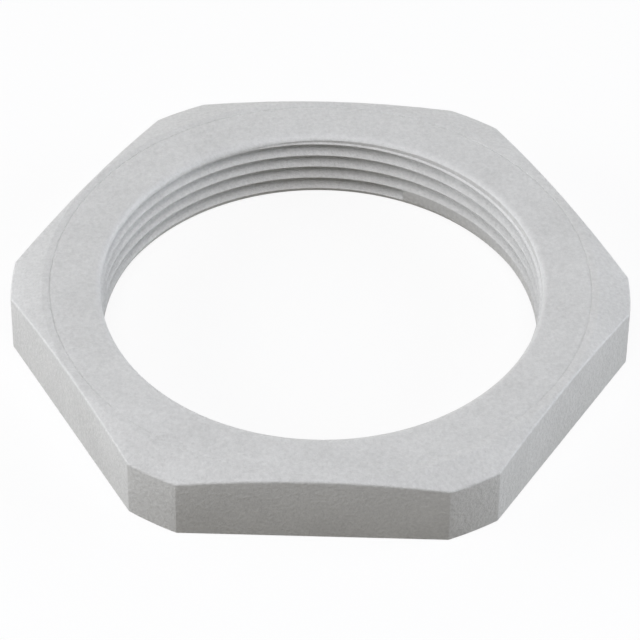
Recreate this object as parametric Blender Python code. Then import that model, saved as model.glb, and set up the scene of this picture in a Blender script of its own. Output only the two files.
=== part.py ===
"""Locknut for a cable gland: one moulded hexagon ring with a fine right-hand thread through it.

The nut lies on its flat seat at z = 0 with the thread's axis along +Z and a flat facing -Y.
All sizes are in metres.
"""
import math

import bmesh
import bpy

MM = 0.001

# Thread, a conduit thread of 80 degrees between the flanks, with 16 turns to the inch
THREAD_NOMINAL = 47.0 * MM
THREAD_ALLOWANCE = 0.2 * MM
THREAD_PITCH = 1.5875 * MM
THREAD_DEPTH_IN_PITCHES = 0.4785
FLANK_ANGLE = math.radians(40.0)

# Where the groove starts, seen from above: its bearing from +X, its height over the seat at its
# middle, and how far along the wall it takes to reach its full depth
START_BEARING = math.radians(68.0)
START_HEIGHT = 1.28 * MM
START_RUN_IN = 0.3 * MM

# Where the groove ends: the height over which it grows shallower, and how far below the top it is gone
RUN_OUT_HEIGHT = 0.85 * MM
RUN_OUT_BELOW_TOP = 0.25 * MM

# Body round the thread
FLAT_WALL = 5.65 * MM
CORNER_TRIM = 1.52 * MM
THICKNESS = 7.8 * MM
BEVEL_WIDTH = 3.55 * MM
BEVEL_ANGLE = math.radians(15.0)

# Mouths of the bore: a round from the thread's crests over to the top face, and a lead-in cone at
# the seat, with how far out from the crests it opens and how deep into the bore it reaches
TOP_MOUTH_ROUND = 0.85 * MM
SEAT_LEAD_IN_WIDTH = 0.41 * MM
SEAT_LEAD_IN_DEPTH = 0.70 * MM

# Facets in a full circle and across the mouth's round, how far a cutter reaches past what it cuts,
# and how close two points lie when a cut leaves them doubled
BORE_SIDES = 144
BODY_SIDES = 144
MOUTH_FLATS = 3
OVERRUN = 1.0 * MM
WELD_DISTANCE = 0.005 * MM
SMOOTH_ANGLE = math.radians(25.0)

root_radius = (THREAD_NOMINAL + THREAD_ALLOWANCE) / 2.0
thread_depth = THREAD_DEPTH_IN_PITCHES * THREAD_PITCH
crest_radius = root_radius - thread_depth
flank_height = thread_depth * math.tan(FLANK_ANGLE)
root_flat = (THREAD_PITCH - 2.0 * flank_height) / 2.0
flat_distance = root_radius + FLAT_WALL
corner_radius = flat_distance / math.cos(math.radians(30.0)) - CORNER_TRIM


def clear_scene():
    for old in list(bpy.data.objects):
        bpy.data.objects.remove(old, do_unlink=True)


def add_object(name, bm):
    bmesh.ops.recalc_face_normals(bm, faces=bm.faces)
    mesh = bpy.data.meshes.new(name)
    bm.to_mesh(mesh)
    bm.free()
    obj = bpy.data.objects.new(name, mesh)
    bpy.context.scene.collection.objects.link(obj)
    return obj


def polar(radius, bearing, height):
    return (radius * math.cos(bearing), radius * math.sin(bearing), height)


def turned_solid(name, profile, sides, first_bearing=0.0):
    """Solid of revolution about Z from (radius, height) points given from the bottom up."""
    bm = bmesh.new()
    rings = []
    for radius, height in profile:
        ring = []
        for i in range(sides):
            bearing = first_bearing + math.tau * i / sides
            ring.append(bm.verts.new(polar(radius, bearing, height)))
        rings.append(ring)
    for low, high in zip(rings, rings[1:]):
        for i in range(sides):
            j = (i + 1) % sides
            bm.faces.new((low[i], low[j], high[j], high[i]))
    bm.faces.new(reversed(rings[0]))
    bm.faces.new(rings[-1])
    return add_object(name, bm)


def hexagon_bar():
    """Sharp-cornered hexagon, longer than the nut at both ends, with a flat facing -Y."""
    corner = flat_distance / math.cos(math.radians(30.0))
    profile = [(corner, -OVERRUN), (corner, THICKNESS + OVERRUN)]
    return turned_solid("hexagon_bar", profile, 6)


def turned_blank(name):
    """Disc that the hexagon is trimmed to: round corners, a flat seat and a shallow cone on top."""
    bevel_height = BEVEL_WIDTH * math.tan(BEVEL_ANGLE)
    profile = [
        (corner_radius, 0.0),
        (corner_radius, THICKNESS - bevel_height),
        (corner_radius - BEVEL_WIDTH, THICKNESS),
    ]
    return turned_solid(name, profile, BODY_SIDES)


def thread_core():
    """Threaded pin that leaves the bore behind: a plain pin with one helical ridge.

    Each column of vertices stands at one bearing and holds four points for each turn. After a
    full circle the columns meet one turn higher, so the last column joins the first with a shift
    of one turn. Below its start the ridge has no height, which leaves a plain land there.
    """
    section = (
        (-root_flat / 2.0 - flank_height, 0.0),
        (-root_flat / 2.0, thread_depth),
        (root_flat / 2.0, thread_depth),
        (root_flat / 2.0 + flank_height, 0.0),
    )
    first_turn = -2 - int(START_HEIGHT / THREAD_PITCH)
    last_turn = 2 + int((THICKNESS - START_HEIGHT) / THREAD_PITCH)
    run_in = START_RUN_IN / (math.tau * crest_radius)
    shares = sorted([run_in] + [i / BORE_SIDES for i in range(BORE_SIDES)])

    bm = bmesh.new()
    columns = []
    for share in shares:
        bearing = START_BEARING + math.tau * share
        column = []
        for turn in range(first_turn, last_turn + 1):
            middle = START_HEIGHT + (turn + share) * THREAD_PITCH
            growth = min(1.0, max(0.0, (turn + share) / run_in))
            for offset, rise in section:
                point = polar(crest_radius + rise * growth, bearing, middle + offset)
                column.append(bm.verts.new(point))
        columns.append(column)
    for left, right in zip(columns, columns[1:]):
        for i in range(len(left) - 1):
            bm.faces.new((left[i], right[i], right[i + 1], left[i + 1]))
    left, right = columns[-1], columns[0][len(section):]
    for i in range(len(right) - 1):
        bm.faces.new((left[i], right[i], right[i + 1], left[i + 1]))
    close_ends(bm, THICKNESS / 2.0)
    return add_object("thread_core", bm)


def close_ends(bm, middle_height):
    """Close the stepped rim at each end of the pin with triangles to a point on the axis."""
    rims = {"low": [], "high": []}
    for edge in bm.edges:
        if edge.is_boundary:
            end = "low" if edge.verts[0].co.z < middle_height else "high"
            rims[end].append(edge)
    for edges in rims.values():
        height = sum(edge.verts[0].co.z for edge in edges) / len(edges)
        apex = bm.verts.new((0.0, 0.0, height))
        for edge in edges:
            bm.faces.new((edge.verts[0], edge.verts[1], apex))


def run_out_envelope():
    """Turned solid that the threaded pin is trimmed to, so that the ridge runs out near the top.

    Its cone meets the pin's own radius where the groove ends. Above that the rounded mouth is wider
    than the cone.
    """
    gone = THICKNESS - RUN_OUT_BELOW_TOP
    rise_per_radius = RUN_OUT_HEIGHT / thread_depth
    wide_radius = root_radius + OVERRUN
    narrow_radius = crest_radius - OVERRUN
    profile = [
        (wide_radius, -OVERRUN),
        (wide_radius, gone - (wide_radius - crest_radius) * rise_per_radius),
        (narrow_radius, gone + OVERRUN * rise_per_radius),
    ]
    return turned_solid("run_out_envelope", profile, BORE_SIDES, START_BEARING)


def rounded_mouth():
    """Cutter that rolls the bore's top edge over in a few flats, each tangent to the round."""
    centre_radius = crest_radius + TOP_MOUTH_ROUND
    centre_height = THICKNESS - TOP_MOUTH_ROUND
    half_flat = math.radians(90.0) / (2.0 * MOUTH_FLATS)

    def on_arc(angle, reach):
        across = centre_radius - reach * math.cos(angle)
        return across, centre_height + reach * math.sin(angle)

    radius, height = on_arc(half_flat, TOP_MOUTH_ROUND)
    profile = [(radius - OVERRUN * math.sin(half_flat), height - OVERRUN * math.cos(half_flat))]
    for i in range(1, MOUTH_FLATS):
        profile.append(on_arc(2.0 * i * half_flat, TOP_MOUTH_ROUND / math.cos(half_flat)))
    radius, height = on_arc(math.radians(90.0) - half_flat, TOP_MOUTH_ROUND)
    profile.append((radius + OVERRUN * math.cos(half_flat), height + OVERRUN * math.sin(half_flat)))
    return turned_solid("rounded_mouth", profile, BORE_SIDES, START_BEARING)


def seat_lead_in():
    """Cone that opens the bore at the seat."""
    slope = SEAT_LEAD_IN_DEPTH / SEAT_LEAD_IN_WIDTH
    profile = [
        (crest_radius + SEAT_LEAD_IN_WIDTH + OVERRUN, -OVERRUN * slope),
        (crest_radius - OVERRUN, SEAT_LEAD_IN_DEPTH + OVERRUN * slope),
    ]
    return turned_solid("seat_lead_in", profile, BORE_SIDES, START_BEARING)


def combine(body, tool, operation):
    """Carry out one Boolean on the body and leave the tool out of the model."""
    step = body.modifiers.new(tool.name, "BOOLEAN")
    step.operation = operation
    step.solver = "EXACT"
    step.object = tool
    depsgraph = bpy.context.evaluated_depsgraph_get()
    result = bpy.data.meshes.new_from_object(body.evaluated_get(depsgraph))
    weld(result)
    body.modifiers.clear()
    body.data = result
    bpy.data.objects.remove(tool, do_unlink=True)


def weld(mesh):
    """Join the doubled points that a Boolean leaves where two edges cross."""
    bm = bmesh.new()
    bm.from_mesh(mesh)
    bmesh.ops.remove_doubles(bm, verts=bm.verts, dist=WELD_DISTANCE)
    bmesh.ops.dissolve_degenerate(bm, edges=bm.edges, dist=WELD_DISTANCE)
    bm.to_mesh(mesh)
    bm.free()


def grey_polyamide():
    material = bpy.data.materials.new("grey_polyamide")
    material.use_nodes = True
    shader = material.node_tree.nodes["Principled BSDF"]
    shader.inputs["Base Color"].default_value = (0.60, 0.61, 0.61, 1.0)
    shader.inputs["Roughness"].default_value = 0.5
    shader.inputs["Metallic"].default_value = 0.0
    return material


def build_locknut():
    nut = turned_blank("locknut")
    combine(nut, hexagon_bar(), "INTERSECT")
    core = thread_core()
    combine(core, run_out_envelope(), "INTERSECT")
    combine(nut, core, "DIFFERENCE")
    combine(nut, rounded_mouth(), "DIFFERENCE")
    combine(nut, seat_lead_in(), "DIFFERENCE")
    nut.data.name = "locknut"
    nut.data.materials.clear()
    nut.data.materials.append(grey_polyamide())
    nut.data.shade_smooth()
    nut.data.set_sharp_from_angle(angle=SMOOTH_ANGLE)
    return nut


clear_scene()
build_locknut()
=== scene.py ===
"""Cable gland locknut as it looks: one moulded hexagon ring of light grey polyamide.

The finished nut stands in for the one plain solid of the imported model. It has the same hexagon and
the same right-hand thread, with finer facets, a slightly steeper bevel and the small rounds that a
moulding has. It lies on a white table under soft light. All sizes are in metres.
"""
import math

import bmesh
import bpy
from mathutils import Matrix, Vector


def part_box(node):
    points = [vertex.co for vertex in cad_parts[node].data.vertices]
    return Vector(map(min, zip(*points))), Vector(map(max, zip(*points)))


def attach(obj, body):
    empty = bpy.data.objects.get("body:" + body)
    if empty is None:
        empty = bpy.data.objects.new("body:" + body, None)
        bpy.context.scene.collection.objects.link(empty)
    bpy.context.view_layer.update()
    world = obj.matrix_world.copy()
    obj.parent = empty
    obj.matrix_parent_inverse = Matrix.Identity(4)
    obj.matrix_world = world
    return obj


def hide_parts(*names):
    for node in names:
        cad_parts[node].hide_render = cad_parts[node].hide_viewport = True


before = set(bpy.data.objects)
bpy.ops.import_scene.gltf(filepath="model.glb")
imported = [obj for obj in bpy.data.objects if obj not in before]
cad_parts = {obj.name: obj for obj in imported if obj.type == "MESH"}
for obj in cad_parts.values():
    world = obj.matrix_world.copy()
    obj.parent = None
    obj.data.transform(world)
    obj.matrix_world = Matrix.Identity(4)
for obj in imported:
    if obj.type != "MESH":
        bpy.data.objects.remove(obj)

MM = 0.001
QUARTER_TURN = math.radians(90.0)

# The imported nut's own box gives the body: it lies on its seat with a flat facing -Y. The finished
# nut stays a hair inside that box
HAIR = 0.001 * MM
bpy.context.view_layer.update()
nut_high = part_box("locknut")[1]
THICKNESS = nut_high.z
FLAT_DISTANCE = nut_high.y - HAIR
CORNER_RADIUS = nut_high.x - HAIR

# Bevel that takes the corners down on the top side, with the soft line where it leaves the top
BEVEL_WIDTH = 3.25 * MM
BEVEL_ANGLE = math.radians(16.3)
BEVEL_LINE_ROUND = 0.3 * MM
BEVEL_INNER_RADIUS = CORNER_RADIUS - BEVEL_WIDTH

# Fine scored line just inside the bevel, where two pieces of the mould met: how deep it is, and its
# shape as (distance out from its radius, share of the depth), steep outside and gentle inside
SCORE_RADIUS = 28.20 * MM
SCORE_DEPTH = 0.07 * MM
SCORE_SHAPE = (
    (0.12 * MM, 0.0), (0.07 * MM, 0.03), (0.03 * MM, 0.3), (0.0, 1.0),
    (-0.04 * MM, 0.9), (-0.12 * MM, 0.5), (-0.20 * MM, 0.15), (-0.28 * MM, 0.0))

# Rounds that the mould leaves on the outer edges
TOP_EDGE_ROUND = 0.28 * MM
SEAT_EDGE_ROUND = 0.12 * MM
UPRIGHT_EDGE_ROUND = 0.5 * MM

# Thread: 80 degrees between the flanks, with a small round on its crests
CREST_RADIUS = 22.84 * MM
THREAD_PITCH = 1.5875 * MM
THREAD_DEPTH = 0.4785 * THREAD_PITCH
FLANK_ANGLE = math.radians(40.0)
CREST_ROUND = 0.08 * MM

# Where the groove starts, seen from above: its bearing from +X, its height over the seat at its
# middle, and how far along the wall it takes to reach its full depth
START_BEARING = math.radians(68.0)
START_HEIGHT = 1.28 * MM
START_RUN_IN = 0.3 * MM

# Where the groove ends: (height of its middle over the seat, how deep it may be there). It grows
# shallower as it climbs, and is gone when its middle has passed the top
RUN_OUT = (
    (6.70 * MM, THREAD_DEPTH),
    (7.35 * MM, 0.25 * MM),
    (7.60 * MM, 0.18 * MM),
    (7.74 * MM, 0.13 * MM),
    (7.86 * MM, 0.0),
)

# Mouths of the bore: a round from the thread's crests over to the top, and a lead-in cone at
# the seat, with how far out from the crests it opens and how deep into the bore it reaches
TOP_MOUTH_ROUND = 0.85 * MM
SEAT_LEAD_IN_WIDTH = 0.41 * MM
SEAT_LEAD_IN_DEPTH = 0.70 * MM

# Facets: columns round the bore, along each flat and round each turned corner, and rows across a
# round, a thread flank and the bore's mouth
BORE_COLUMNS = 540
FLAT_COLUMNS = 8
CORNER_COLUMNS = 8
ROUND_STEPS = 4
FLANK_STEPS = 4
MOUTH_FLATS = 10

# How far a cutter reaches past what it cuts, how far inside and outside the crests the plain faces
# round the bore have their rings, how close doubled points lie, and the turn that shades as an edge
OVERRUN = 1.0 * MM
RING_MARGIN = 2.0 * MM
WELD_DISTANCE = 0.003 * MM
SMOOTH_ANGLE = math.radians(30.0)

# Polyamide: the widths that its grain and its uneven pigment are drawn at, how deep the grain is
# and how rough from its low to its high spots, how much of the pigment's unevenness is in the
# specks, and the pigment's two ends
GRAIN_WIDTH = 0.4 * MM
GRAIN_DEPTH = 0.09 * MM
GRAIN_ROUGHNESS = (0.46, 0.56)
CLOUD_WIDTH = 6.0 * MM
SPECK_WIDTH = 0.4 * MM
SPECK_SHARE = 0.7
DARK_PIGMENT = "#ACACAA"
LIGHT_PIGMENT = "#EDEDEB"
POLYAMIDE_IOR = 1.53

# Painted highlight on the rounded lip of the bore, a lighter tone that stands in for its sheen: the
# distance from the axis and the height at which it begins and at which it is full, its colour, and
# how much of that shows
LIP_HIGHLIGHT_RADII = (23.8 * MM, 23.3 * MM)
LIP_HIGHLIGHT_HEIGHTS = (7.1 * MM, 7.5 * MM)
LIP_HIGHLIGHT_COLOUR = "#EDEDEB"
LIP_HIGHLIGHT_SHARE = 0.18

# Table: half its width, the gap under the nut's seat, its grey for the light that it sends back up,
# its white where it is seen, and the share of what is seen there that takes the lamps' shade
TABLE_REACH = 1500.0 * MM
TABLE_GAP = 0.02 * MM
TABLE_GREY = "#878173"
TABLE_SEEN = "#FFFFFF"
TABLE_SHADOW_DEPTH = 0.12

# Softboxes: name, bearing from +X and elevation in degrees, level, width and colour. The level is
# the light that one throws on a white card square to it at the nut, where 1 is white
LAMP_DISTANCE = 600.0 * MM
LAMPS = (
    ("top_softbox", 270.0, 70.0, 0.59, 400.0 * MM, "#FDFCFF"),
    ("left_softbox", 187.0, 15.0, 0.82, 400.0 * MM, "#F8FAFF"),
    ("right_softbox", 0.0, 15.0, 0.69, 400.0 * MM, "#F1F6FF"),
    ("rear_left_softbox", 150.0, 15.0, 0.17, 300.0 * MM, "#F8FAFF"),
    ("rear_softbox", 90.0, 15.0, 0.12, 400.0 * MM, "#FFFCF4"),
    ("rear_right_softbox", 30.0, 12.0, 0.09, 300.0 * MM, "#F1F6FF"),
)

# Camera, fitted to the nut's outline in the photograph
CAMERA_DISTANCE = 404.03 * MM
CAMERA_BEARING = math.radians(0.945)
CAMERA_ELEVATION = math.radians(43.181)
CAMERA_ROLL = math.radians(0.806)
CAMERA_SIDESTEP = -0.0243 * MM
CAMERA_RISE = 1.6415 * MM
CAMERA_LENS_MM = 215.6
SENSOR_WIDTH_MM = 36.0
NEAREST_SEEN = 0.1 * CAMERA_DISTANCE
FARTHEST_SEEN = 100.0 * CAMERA_DISTANCE


def linear_colour(code):
    """Linear red, green, blue and alpha of an sRGB hex colour."""
    channels = []
    for start in (1, 3, 5):
        value = int(code[start:start + 2], 16) / 255.0
        if value <= 0.04045:
            channels.append(value / 12.92)
        else:
            channels.append(((value + 0.055) / 1.055) ** 2.4)
    return (*channels, 1.0)


def add_node(tree, kind, settings=None, inputs=None):
    """Add a shader node. An input that is another node's output is linked, else it is set."""
    node = tree.nodes.new(kind)
    for name, value in (settings or {}).items():
        setattr(node, name, value)
    for name, value in (inputs or {}).items():
        if isinstance(value, bpy.types.NodeSocket):
            tree.links.new(value, node.inputs[name])
        else:
            node.inputs[name].default_value = value
    return node


def new_material(name):
    material = bpy.data.materials.new(name)
    material.use_nodes = True
    material.node_tree.nodes.clear()
    return material


def uneven_pigment(tree, place):
    """Colour of the polyamide: wide clouds and fine specks of slightly uneven pigment."""
    clouds = add_node(tree, "ShaderNodeTexNoise", inputs={
        "Vector": place, "Scale": 1.0 / CLOUD_WIDTH, "Detail": 3.0, "Roughness": 0.55})
    specks = add_node(tree, "ShaderNodeTexNoise", inputs={
        "Vector": place, "Scale": 1.0 / SPECK_WIDTH, "Detail": 3.0, "Roughness": 0.7})
    pigment = add_node(tree, "ShaderNodeMix", {"data_type": "FLOAT"}, {
        "Factor": SPECK_SHARE, "A": clouds.outputs["Fac"], "B": specks.outputs["Fac"]})
    tone = add_node(tree, "ShaderNodeMix", {"data_type": "RGBA"}, {
        "Factor": pigment.outputs["Result"],
        "A": linear_colour(DARK_PIGMENT),
        "B": linear_colour(LIGHT_PIGMENT)})
    return tone.outputs["Result"]


def painted_lip_highlight(tree, place, tone):
    """Tone painted a shade lighter on the rounded lip of the bore, a painted highlight that stands in
    for its sheen.
    """
    level_place = add_node(tree, "ShaderNodeVectorMath", {"operation": "MULTIPLY"}, {
        0: place, 1: (1.0, 1.0, 0.0)})
    across = add_node(tree, "ShaderNodeVectorMath", {"operation": "LENGTH"}, {
        0: level_place.outputs["Vector"]})
    near_bore = add_node(tree, "ShaderNodeMapRange", inputs={
        "Value": across.outputs["Value"], "From Min": LIP_HIGHLIGHT_RADII[0], "From Max": LIP_HIGHLIGHT_RADII[1]})
    height = add_node(tree, "ShaderNodeSeparateXYZ", inputs={"Vector": place})
    near_top = add_node(tree, "ShaderNodeMapRange", inputs={
        "Value": height.outputs["Z"], "From Min": LIP_HIGHLIGHT_HEIGHTS[0], "From Max": LIP_HIGHLIGHT_HEIGHTS[1],
        "To Max": LIP_HIGHLIGHT_SHARE})
    lip_highlight_mask = add_node(tree, "ShaderNodeMath", {"operation": "MULTIPLY"}, {
        0: near_bore.outputs["Result"], 1: near_top.outputs["Result"]})
    # Painted highlight: the lip's tone is mixed towards a lighter colour in place of its sheen
    highlighted_tone = add_node(tree, "ShaderNodeMix", {"data_type": "RGBA"}, {
        "Factor": lip_highlight_mask.outputs[0],
        "A": tone,
        "B": linear_colour(LIP_HIGHLIGHT_COLOUR)})
    return highlighted_tone.outputs["Result"]


def moulded_grey_polyamide():
    """Unfilled polyamide from an eroded mould: a dull, even sheen over a very fine pimpled grain,
    with faintly uneven pigment."""
    material = new_material("moulded_grey_polyamide")
    tree = material.node_tree
    place = add_node(tree, "ShaderNodeTexCoord").outputs["Object"]
    # The eroded grain is about 0.1 mm across. It is drawn coarser, so that the render shows it
    grain = add_node(tree, "ShaderNodeTexNoise", inputs={
        "Vector": place, "Scale": 1.0 / GRAIN_WIDTH, "Detail": 3.0, "Roughness": 0.6})
    surface = add_node(tree, "ShaderNodeBump", inputs={
        "Height": grain.outputs["Fac"], "Distance": GRAIN_DEPTH, "Strength": 1.0})
    roughness = add_node(tree, "ShaderNodeMapRange", inputs={
        "Value": grain.outputs["Fac"],
        "To Min": GRAIN_ROUGHNESS[0],
        "To Max": GRAIN_ROUGHNESS[1]})
    shader = add_node(tree, "ShaderNodeBsdfPrincipled", inputs={
        # The base colour carries the painted highlight on the bore's lip
        "Base Color": painted_lip_highlight(tree, place, uneven_pigment(tree, place)),
        "Roughness": roughness.outputs["Result"],
        "Normal": surface.outputs["Normal"],
        "IOR": POLYAMIDE_IOR})
    add_node(tree, "ShaderNodeOutputMaterial", inputs={"Surface": shader.outputs["BSDF"]})
    return material


def polar(radius, bearing, height):
    return Vector((radius * math.cos(bearing), radius * math.sin(bearing), height))


def bearing_of(point):
    return math.atan2(point.y, point.x)


def add_object(name, bm):
    bmesh.ops.recalc_face_normals(bm, faces=bm.faces)
    mesh = bpy.data.meshes.new(name)
    bm.to_mesh(mesh)
    bm.free()
    obj = bpy.data.objects.new(name, mesh)
    bpy.context.scene.collection.objects.link(obj)
    return obj


def skin_rings(bm, rings):
    """Join closed rings of equally many points, given in order, and cap the first and last."""
    rings = [[bm.verts.new(point) for point in ring] for ring in rings]
    for low, high in zip(rings, rings[1:]):
        for i in range(len(low)):
            j = (i + 1) % len(low)
            bm.faces.new((low[i], low[j], high[j], high[i]))
    bm.faces.new(reversed(rings[0]))
    bm.faces.new(rings[-1])


def hexagon_outline():
    """Points and outward directions round the nut: six flats, six turned corners, and between
    them the upright edges with their rounds."""
    inner_flat = FLAT_DISTANCE - UPRIGHT_EDGE_ROUND
    inner_corner = CORNER_RADIUS - UPRIGHT_EDGE_ROUND
    turn = math.acos(inner_flat / inner_corner)
    half_flat = inner_corner * math.sin(turn)
    half_side = math.radians(30.0)
    outline = []
    for side in range(6):
        facing = math.radians(60.0 * side - 90.0)
        local = []
        for i in range(FLAT_COLUMNS + 1):
            y = half_flat * (2.0 * i / FLAT_COLUMNS - 1.0)
            local.append((Vector((FLAT_DISTANCE, y)), 0.0))
        for i in range(1, ROUND_STEPS + 1):
            angle = turn * i / ROUND_STEPS
            centre = Vector((inner_flat, half_flat))
            out = Vector((math.cos(angle), math.sin(angle)))
            local.append((centre + UPRIGHT_EDGE_ROUND * out, angle))
        for i in range(1, CORNER_COLUMNS):
            angle = turn + 2.0 * (half_side - turn) * i / CORNER_COLUMNS
            local.append((CORNER_RADIUS * Vector((math.cos(angle), math.sin(angle))), angle))
        for i in range(ROUND_STEPS):
            angle = 2.0 * half_side - turn + turn * i / ROUND_STEPS
            centre = Vector((inner_flat, -half_flat))
            centre.rotate(Matrix.Rotation(2.0 * half_side, 2))
            out = Vector((math.cos(angle), math.sin(angle)))
            local.append((centre + UPRIGHT_EDGE_ROUND * out, angle))
        spin = Matrix.Rotation(facing, 2)
        for point, angle in local:
            outline.append((spin @ point, facing + angle))
    return outline


def bevel_height(radius):
    """Height of the sharp bevel cone at a radius, or of the flat top inside it."""
    return THICKNESS - max(0.0, radius - BEVEL_INNER_RADIUS) * math.tan(BEVEL_ANGLE)


def level_ring(points, radius, height):
    """Circle at one height, with a point at the bearing of each given point."""
    return [polar(radius, bearing_of(point), height) for point in points]


def inset_point(point, facing, inset, height):
    """Point of the outline moved in, against its outward direction, and set at a height."""
    inward = Vector((math.cos(facing), math.sin(facing))) * inset
    return Vector((*(point - inward), height))


def seat_edge_rings(outline):
    """Rings of the round between the seat and the sides, from the seat up."""
    rings = []
    for i in range(ROUND_STEPS + 1):
        angle = QUARTER_TURN * i / ROUND_STEPS
        inset = SEAT_EDGE_ROUND * (1.0 - math.sin(angle))
        height = SEAT_EDGE_ROUND * (1.0 - math.cos(angle))
        rings.append([inset_point(point, facing, inset, height) for point, facing in outline])
    return rings


def top_edge_rings(outline):
    """Rings of the round between the sides and the bevel. The cone meets a flat at a gentler
    slope away from its middle, so each point of the outline has its own."""
    rings = []
    for i in range(ROUND_STEPS + 1):
        ring = []
        for point, facing in outline:
            lean = facing - bearing_of(point)
            slope = math.atan(math.tan(BEVEL_ANGLE) * math.cos(lean))
            angle = (QUARTER_TURN - slope) * i / ROUND_STEPS
            sharp = bevel_height(point.length)
            centre = sharp + TOP_EDGE_ROUND * (math.tan(slope) - 1.0 / math.cos(slope))
            inset = TOP_EDGE_ROUND * (1.0 - math.cos(angle))
            height = centre + TOP_EDGE_ROUND * math.sin(angle)
            ring.append(inset_point(point, facing, inset, height))
        rings.append(ring)
    return rings


def top_rings(edge):
    """Rings from the upper edge's last one over the bevel, its soft line and the scored line to
    the plain face round the bore."""
    rings = []
    reach = BEVEL_LINE_ROUND * math.tan(BEVEL_ANGLE / 2.0)
    for share in (0.5, 1.0):
        ring = []
        for point in edge:
            radius = point.xy.length
            radius += (BEVEL_INNER_RADIUS + reach - radius) * share
            ring.append(polar(radius, bearing_of(point), bevel_height(radius)))
        rings.append(ring)
    for i in range(1, ROUND_STEPS + 1):
        angle = BEVEL_ANGLE * (1.0 - i / ROUND_STEPS)
        radius = BEVEL_INNER_RADIUS - reach + BEVEL_LINE_ROUND * math.sin(angle)
        height = THICKNESS - BEVEL_LINE_ROUND * (1.0 - math.cos(angle))
        rings.append(level_ring(edge, radius, height))
    for out, share in SCORE_SHAPE:
        rings.append(level_ring(edge, SCORE_RADIUS + out, THICKNESS - SCORE_DEPTH * share))
    for margin in (RING_MARGIN, -RING_MARGIN):
        rings.append(level_ring(edge, CREST_RADIUS + margin, THICKNESS))
    return rings


def nut_body():
    """Nut without its bore, from rings of points that go from the seat round the outer edge to
    the top, each with one point for each point of the outline."""
    outline = hexagon_outline()
    points = [point for point, _ in outline]
    rings = [level_ring(points, CREST_RADIUS + margin, 0.0) for margin in (-RING_MARGIN, RING_MARGIN)]
    rings += seat_edge_rings(outline)
    rings += top_edge_rings(outline)
    rings += top_rings(rings[-1])
    bm = bmesh.new()
    skin_rings(bm, rings)
    return add_object("locknut_finish", bm)


def thread_section():
    """Points of one groove from crest to crest: (height from its middle, depth into the wall).

    The crests keep their small round, and the root gets the round that the depth leaves for it.
    """
    half = THREAD_PITCH / 2.0
    turn = QUARTER_TURN - FLANK_ANGLE
    lost_depth = half / math.tan(FLANK_ANGLE) - THREAD_DEPTH
    root_round = lost_depth / (1.0 / math.sin(FLANK_ANGLE) - 1.0) - CREST_ROUND
    crest, root = [], []
    for i in range(ROUND_STEPS + 1):
        along, rise = math.sin(turn * i / ROUND_STEPS), 1.0 - math.cos(turn * i / ROUND_STEPS)
        crest.append((CREST_ROUND * along - half, CREST_ROUND * rise))
        root.append((-root_round * along, THREAD_DEPTH - root_round * rise))
    root.reverse()
    flank = []
    for i in range(1, FLANK_STEPS):
        share = i / FLANK_STEPS
        flank.append([a + (b - a) * share for a, b in zip(crest[-1], root[0])])
    below = crest + flank + root
    return below + [(-height, depth) for height, depth in reversed(below[1:-1])]


def groove_limit(middle):
    """Deepest that the groove may be where its middle has climbed to a height."""
    if middle <= RUN_OUT[0][0]:
        return RUN_OUT[0][1]
    for (low, deep), (high, shallow) in zip(RUN_OUT, RUN_OUT[1:]):
        if middle <= high:
            return deep + (shallow - deep) * (middle - low) / (high - low)
    return RUN_OUT[-1][1]


def thread_core():
    """Threaded pin that leaves the bore behind: a plain pin with one helical ridge.

    Each column of points stands at one bearing. After a full circle the columns meet one turn
    higher, so the last column joins the first with a shift of one turn. Below its start the
    ridge has no height, which leaves a plain land there, and towards the top it is cut down to
    nothing as it climbs.
    """
    section = thread_section()
    first_turn = -2 - int(START_HEIGHT / THREAD_PITCH)
    last_turn = 2 + int((THICKNESS - START_HEIGHT) / THREAD_PITCH)
    run_in = START_RUN_IN / (math.tau * CREST_RADIUS)
    shares = [run_in * i / ROUND_STEPS for i in range(ROUND_STEPS)] + [run_in]
    shares += [i / BORE_COLUMNS for i in range(BORE_COLUMNS) if i / BORE_COLUMNS > run_in]

    bm = bmesh.new()
    columns = []
    for share in shares:
        bearing = START_BEARING + math.tau * share
        column = []
        for turn in range(first_turn, last_turn + 1):
            middle = START_HEIGHT + (turn + share) * THREAD_PITCH
            growth = min(1.0, max(0.0, (turn + share) / run_in))
            limit = groove_limit(middle)
            for offset, rise in section:
                radius = CREST_RADIUS + min(rise * growth, limit)
                column.append(bm.verts.new(polar(radius, bearing, middle + offset)))
        columns.append(column)
    for left, right in zip(columns, columns[1:]):
        join_columns(bm, left, right)
    join_columns(bm, columns[-1], columns[0][len(section):])
    close_ends(bm)
    return add_object("thread_core", bm)


def join_columns(bm, left, right):
    """Fill the strip between two columns, up to where the right one ends."""
    for i in range(len(right) - 1):
        bm.faces.new((left[i], right[i], right[i + 1], left[i + 1]))


def close_ends(bm):
    """Close the stepped rim at each end of the pin with triangles to a point on the axis."""
    rims = {"low": [], "high": []}
    for edge in bm.edges:
        if edge.is_boundary:
            end = "low" if edge.verts[0].co.z < THICKNESS / 2.0 else "high"
            rims[end].append(edge)
    for edges in rims.values():
        height = sum(edge.verts[0].co.z for edge in edges) / len(edges)
        apex = bm.verts.new((0.0, 0.0, height))
        for edge in edges:
            bm.faces.new((edge.verts[0], edge.verts[1], apex))


def turned_tool(name, profile):
    """Cutter turned about Z from (radius, height) points given from the bottom up."""
    bm = bmesh.new()
    rings = []
    for radius, height in profile:
        bearings = [START_BEARING + math.tau * i / BORE_COLUMNS for i in range(BORE_COLUMNS)]
        rings.append([polar(radius, bearing, height) for bearing in bearings])
    skin_rings(bm, rings)
    return add_object(name, bm)


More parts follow.
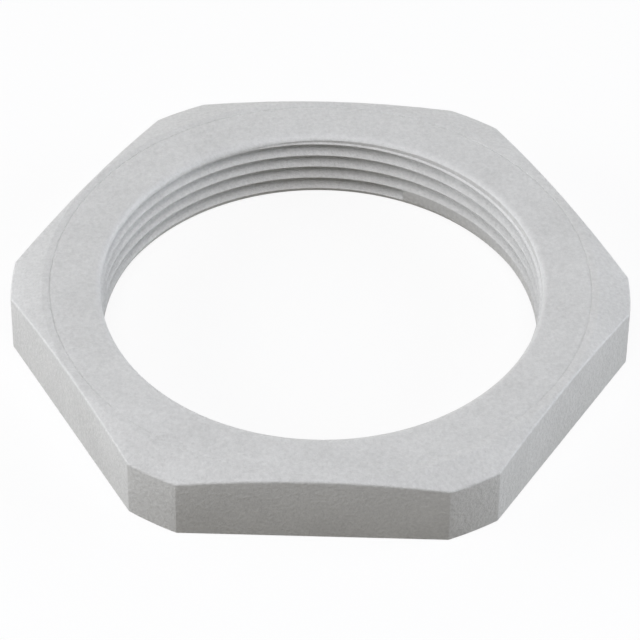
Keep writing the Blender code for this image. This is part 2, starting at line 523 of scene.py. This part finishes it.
def rounded_mouth():
    """Cutter that rolls the bore's top edge over in narrow flats, each tangent to the round."""
    centre_radius = CREST_RADIUS + TOP_MOUTH_ROUND
    centre_height = THICKNESS - TOP_MOUTH_ROUND
    half_flat = QUARTER_TURN / (2.0 * MOUTH_FLATS)

    def on_arc(angle, reach):
        across = centre_radius - reach * math.cos(angle)
        return across, centre_height + reach * math.sin(angle)

    radius, height = on_arc(half_flat, TOP_MOUTH_ROUND)
    profile = [(radius - OVERRUN * math.sin(half_flat), height - OVERRUN * math.cos(half_flat))]
    for i in range(1, MOUTH_FLATS):
        profile.append(on_arc(2.0 * i * half_flat, TOP_MOUTH_ROUND / math.cos(half_flat)))
    radius, height = on_arc(QUARTER_TURN - half_flat, TOP_MOUTH_ROUND)
    profile.append((radius + OVERRUN * math.cos(half_flat), height + OVERRUN * math.sin(half_flat)))
    return turned_tool("rounded_mouth", profile)


def seat_lead_in():
    """Cone that opens the bore at the seat."""
    slope = SEAT_LEAD_IN_DEPTH / SEAT_LEAD_IN_WIDTH
    past = (CREST_RADIUS + SEAT_LEAD_IN_WIDTH + OVERRUN, -OVERRUN * slope)
    deep = (CREST_RADIUS - OVERRUN, SEAT_LEAD_IN_DEPTH + OVERRUN * slope)
    return turned_tool("seat_lead_in", [past, deep])


def cut(body, tool):
    """Take the tool's shape out of the body and drop the tool."""
    step = body.modifiers.new(tool.name, "BOOLEAN")
    step.operation = "DIFFERENCE"
    step.solver = "EXACT"
    step.object = tool
    depsgraph = bpy.context.evaluated_depsgraph_get()
    result = bpy.data.meshes.new_from_object(body.evaluated_get(depsgraph))
    body.modifiers.clear()
    body.data = result
    bpy.data.objects.remove(tool, do_unlink=True)
    weld(result)


def weld(mesh):
    """Join the doubled points that a cut leaves where two edges cross."""
    bm = bmesh.new()
    bm.from_mesh(mesh)
    bmesh.ops.remove_doubles(bm, verts=bm.verts, dist=WELD_DISTANCE)
    bmesh.ops.dissolve_degenerate(bm, edges=bm.edges, dist=WELD_DISTANCE)
    bm.to_mesh(mesh)
    bm.free()


def build_locknut():
    nut = nut_body()
    cut(nut, thread_core())
    cut(nut, rounded_mouth())
    cut(nut, seat_lead_in())
    nut.data.name = "locknut_finish"
    nut.data.materials.clear()
    nut.data.materials.append(moulded_grey_polyamide())
    nut.data.shade_smooth()
    nut.data.set_sharp_from_angle(angle=SMOOTH_ANGLE)
    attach(nut, "root")
    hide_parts("locknut")


def seen_share(tree):
    """Socket that is 1 for a ray that shows a surface: to the eye, mirrored or through glass."""
    path = add_node(tree, "ShaderNodeLightPath")
    direct = add_node(tree, "ShaderNodeMath", {"operation": "MAXIMUM"}, {
        0: path.outputs["Is Camera Ray"], 1: path.outputs["Is Glossy Ray"]})
    seen = add_node(tree, "ShaderNodeMath", {"operation": "MAXIMUM"}, {
        0: direct.outputs[0], 1: path.outputs["Is Transmission Ray"]})
    return seen.outputs[0]


def matt_white_card():
    """Matt card laid on the table: white where it is seen, apart from the nut's faint contact
    shadow, and a mid grey for the light that it sends back up."""
    material = new_material("matt_white_card")
    tree = material.node_tree
    seen = seen_share(tree)
    glow = add_node(tree, "ShaderNodeMath", {"operation": "MULTIPLY"}, {
        0: seen, 1: 1.0 - TABLE_SHADOW_DEPTH})
    card = add_node(tree, "ShaderNodeMix", {"data_type": "RGBA"}, {
        "Factor": seen,
        "A": linear_colour(TABLE_GREY),
        "B": linear_colour(TABLE_SEEN)})
    lit = add_node(tree, "ShaderNodeBsdfDiffuse", inputs={"Color": card.outputs["Result"]})
    white = add_node(tree, "ShaderNodeEmission", inputs={
        "Color": linear_colour("#FFFFFF"), "Strength": 1.0})
    mix = add_node(tree, "ShaderNodeMixShader", inputs={
        0: glow.outputs[0], 1: lit.outputs[0], 2: white.outputs[0]})
    add_node(tree, "ShaderNodeOutputMaterial", inputs={"Surface": mix.outputs[0]})
    return material


def build_table():
    bm = bmesh.new()
    corners = [(-1.0, -1.0), (1.0, -1.0), (1.0, 1.0), (-1.0, 1.0)]
    bm.faces.new([bm.verts.new((TABLE_REACH * x, TABLE_REACH * y, -TABLE_GAP)) for x, y in corners])
    table = add_object("table", bm)
    table.data.materials.append(matt_white_card())


def white_room():
    """World that is white where it is seen and sends the nut no light of its own."""
    world = bpy.data.worlds.new("white_room")
    bpy.context.scene.world = world
    world.use_nodes = True
    tree = world.node_tree
    tree.nodes.clear()
    back = add_node(tree, "ShaderNodeBackground", inputs={
        "Color": linear_colour("#FFFFFF"), "Strength": seen_share(tree)})
    add_node(tree, "ShaderNodeOutputWorld", inputs={"Surface": back.outputs[0]})


def softbox(name, bearing, elevation, level, width, colour):
    """Square lamp that faces the nut."""
    lamp = bpy.data.lights.new(name, "AREA")
    lamp.shape = "SQUARE"
    lamp.size = width
    lamp.energy = level * math.pi * math.pi * LAMP_DISTANCE ** 2
    lamp.color = linear_colour(colour)[:3]
    obj = bpy.data.objects.new(name, lamp)
    toward = polar(math.cos(elevation), bearing, math.sin(elevation))
    obj.location = toward * LAMP_DISTANCE
    obj.rotation_euler = toward.to_track_quat("Z", "Y").to_euler()
    bpy.context.scene.collection.objects.link(obj)


def build_lamps():
    for name, bearing, elevation, level, width, colour in LAMPS:
        softbox(name, math.radians(bearing), math.radians(elevation), level, width, colour)


def build_camera():
    back = Vector((math.sin(CAMERA_BEARING) * math.cos(CAMERA_ELEVATION),
                   -math.cos(CAMERA_BEARING) * math.cos(CAMERA_ELEVATION),
                   math.sin(CAMERA_ELEVATION)))
    level = Vector((math.cos(CAMERA_BEARING), math.sin(CAMERA_BEARING), 0.0))
    upright = back.cross(level)
    right = level * math.cos(CAMERA_ROLL) + upright * math.sin(CAMERA_ROLL)
    up = upright * math.cos(CAMERA_ROLL) - level * math.sin(CAMERA_ROLL)
    place = back * CAMERA_DISTANCE + level * CAMERA_SIDESTEP + upright * CAMERA_RISE
    turned = Matrix((right, up, back)).transposed().to_4x4()
    data = bpy.data.cameras.new("photo_camera")
    data.sensor_width = SENSOR_WIDTH_MM
    data.lens = CAMERA_LENS_MM
    data.clip_start = NEAREST_SEEN
    data.clip_end = FARTHEST_SEEN
    camera = bpy.data.objects.new("photo_camera", data)
    camera.matrix_world = Matrix.Translation(place) @ turned
    bpy.context.scene.collection.objects.link(camera)
    bpy.context.scene.camera = camera


build_locknut()
build_table()
white_room()
build_lamps()
build_camera()
bpy.context.scene.view_settings.view_transform = "Standard"
